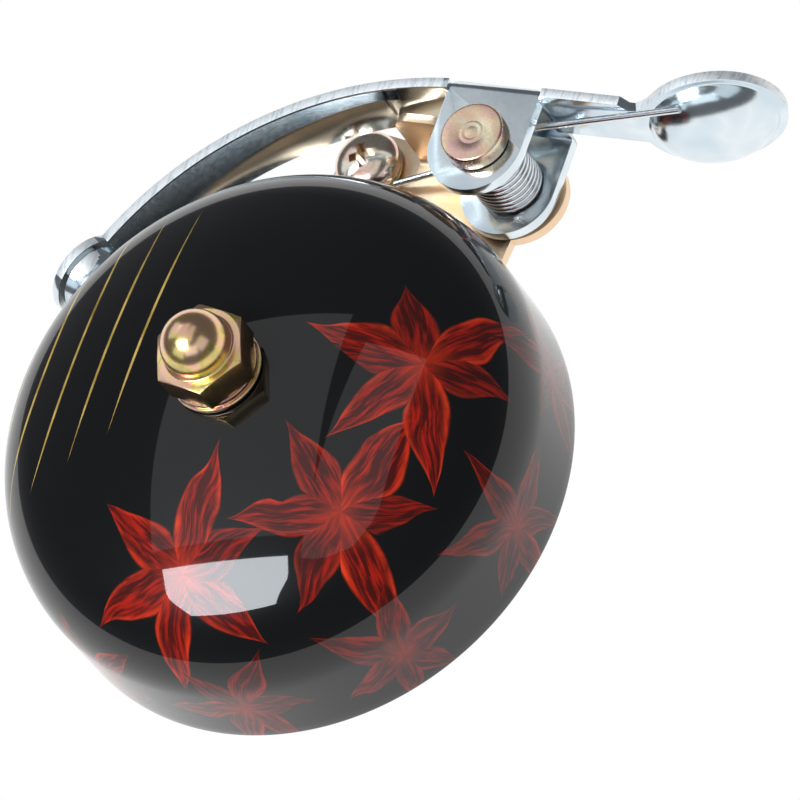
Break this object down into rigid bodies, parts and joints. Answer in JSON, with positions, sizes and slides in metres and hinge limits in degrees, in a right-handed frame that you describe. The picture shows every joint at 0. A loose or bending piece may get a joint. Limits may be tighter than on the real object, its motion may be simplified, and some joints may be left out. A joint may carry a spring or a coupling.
{
  "type": "bicycle bell",
  "caption": "Dome bell with a thumb-operated spring striker lever on a handlebar band clamp.",
  "frame": {"origin": "centre of the handlebar, under the clamp band", "axes": "+X along the handlebar towards the thumb pad, +Y across the bar towards the striker lever, +Z parallel to the axis of the bell dome"},
  "size_m": [0.0681, 0.0733, 0.0617],
  "materials": {
    "black_lacquer": "gloss lacquer with painted flowers",
    "bright_plate": "bright plated pressed steel",
    "yellow_zinc": "yellow-passivated zinc plate",
    "spring_steel": "bright drawn wire",
    "rubber": "matt"
  },
  "bodies": {
    "bracket": {"bell_dome": "black_lacquer", "acorn_nut": "yellow_zinc", "lock_washer": "yellow_zinc", "top_washer": "yellow_zinc", "centre_bolt": "yellow_zinc", "seat_washer": "yellow_zinc", "spacer_tube": "yellow_zinc", "jam_nut": "yellow_zinc", "base_bracket": "yellow_zinc", "pivot_pin": "yellow_zinc", "pivot_washer": "yellow_zinc", "return_spring": "spring_steel", "clamp_band": "yellow_zinc", "clamp_liner": "rubber", "clamp_screw": "yellow_zinc", "clamp_washer": "yellow_zinc", "square_nut": "yellow_zinc"},
    "striker": {"striker_lever": "bright_plate"}
  },
  "joints": [
    {"name": "lever_pivot", "type": "hinge", "parent": "bracket", "child": "striker", "pos_m": [0.01675, 0.01695, 0.0193], "axis": [0, 0, 1], "range_deg": [-20, 0], "stiffness_Nm_per_rad": 0.15, "springref_deg": 20.05, "deforming": ["return_spring"]}
  ]
}
